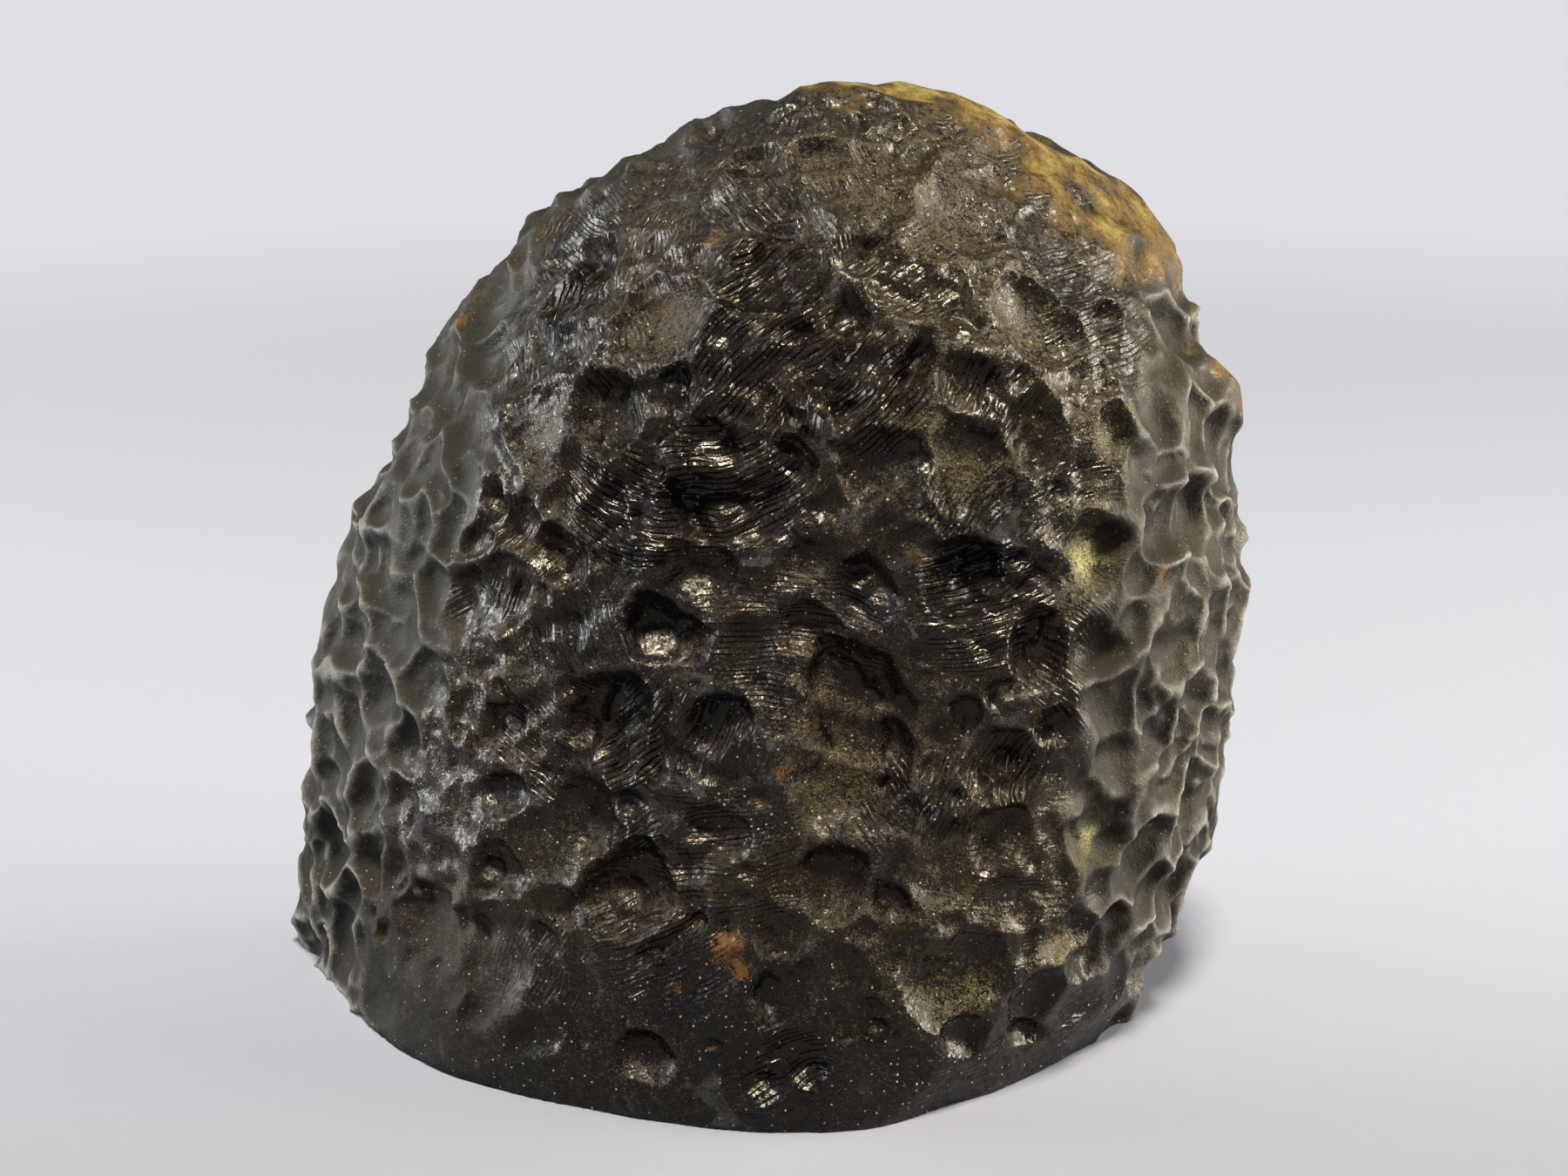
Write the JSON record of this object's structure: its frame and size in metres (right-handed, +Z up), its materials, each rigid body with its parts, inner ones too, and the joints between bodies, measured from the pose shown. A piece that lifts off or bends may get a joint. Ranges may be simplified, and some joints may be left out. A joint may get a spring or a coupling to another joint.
{
  "type": "indochinite tektite",
  "caption": "Natural tektite glass lump, upright and rounded like a thick loaf slice, dark and deeply pitted all over, standing on a flat broken base.",
  "frame": {"origin": "centre of the bounding box's bottom, in the plane that the stone stands on", "axes": "+Z up, +X along the stone's width to its right, -Y out of its broad pitted front, the side the picture shows"},
  "size_m": [0.0508, 0.0284, 0.0462],
  "materials": {
    "tektite_glass": "glossy pitted natural glass"
  },
  "bodies": {
    "root": {"tektite": "tektite_glass"}
  },
  "joints": []
}
